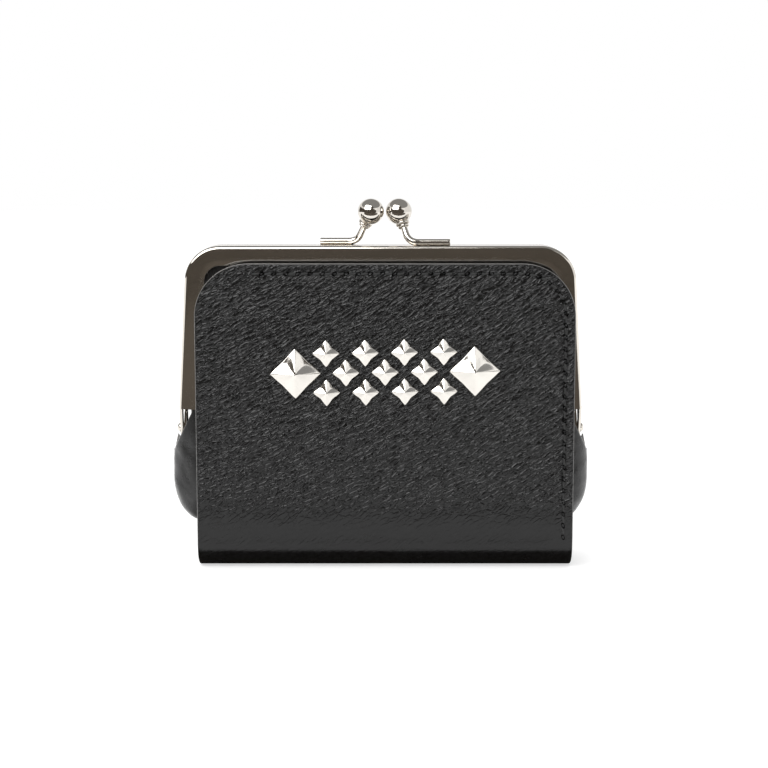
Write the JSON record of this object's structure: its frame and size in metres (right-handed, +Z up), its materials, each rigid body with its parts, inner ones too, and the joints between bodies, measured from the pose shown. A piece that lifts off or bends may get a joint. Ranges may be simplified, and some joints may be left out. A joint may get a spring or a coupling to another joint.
{
  "type": "kiss-lock bifold wallet",
  "caption": "Compact studded leather bifold wallet with a metal-framed kiss-lock coin purse between its covers, card slots and a note pocket.",
  "frame": {"origin": "centre of the bounding box's bottom, on the surface the closed wallet stands on", "axes": "+X across the wallet to its sewn side, +Y from the studded cover to the back, +Z up to the clasp"},
  "size_m": [0.113, 0.025, 0.0981],
  "materials": {
    "outer_leather": "pebbled, semi-matt",
    "purse_leather": "smooth, soft sheen",
    "lining_leather": "fine grain, matt",
    "coin_lining": "twill",
    "frame_metal": "polished nickel",
    "stud_metal": "polished nickel",
    "packing_paper": "twisted paper",
    "thread": "waxed thread"
  },
  "bodies": {
    "purse": {"outer_fold": "outer_leather", "fold_lining": "lining_leather", "purse_front_wall": "purse_leather", "purse_back_lower": "purse_leather", "purse_gusset": "purse_leather", "coin_lining_front": "coin_lining", "coin_lining_back_lower": "coin_lining", "front_frame": "frame_metal", "front_packing_cord": "packing_paper", "front_clasp_arm": "frame_metal", "front_clasp_ball": "frame_metal", "rivet_left": "frame_metal", "rivet_right": "frame_metal"},
    "back_half": {"back_frame": "frame_metal", "back_packing_cord": "packing_paper", "back_clasp_arm": "frame_metal", "back_clasp_ball": "frame_metal", "purse_back_upper": "purse_leather", "coin_lining_back_upper": "coin_lining", "back_cover_upper": "outer_leather", "back_lining_upper": "lining_leather"},
    "cover": {"cover_leather": "outer_leather", "bill_pocket_panel": "lining_leather", "card_slot_rear": "lining_leather", "card_slot_middle": "lining_leather", "card_slot_front": "lining_leather", "small_studs": "stud_metal", "large_studs": "stud_metal", "cover_stitching": "thread"}
  },
  "joints": [
    {"name": "cover_hinge", "type": "hinge", "parent": "purse", "child": "cover", "pos_m": [0, -0.008, 0.0015], "axis": [1, 0, 0], "range_deg": [0, 85]},
    {"name": "purse_hinge", "type": "hinge", "parent": "purse", "child": "back_half", "pos_m": [0, 0.0015, 0.0366], "axis": [-1, 0, 0], "range_deg": [0, 60]}
  ]
}
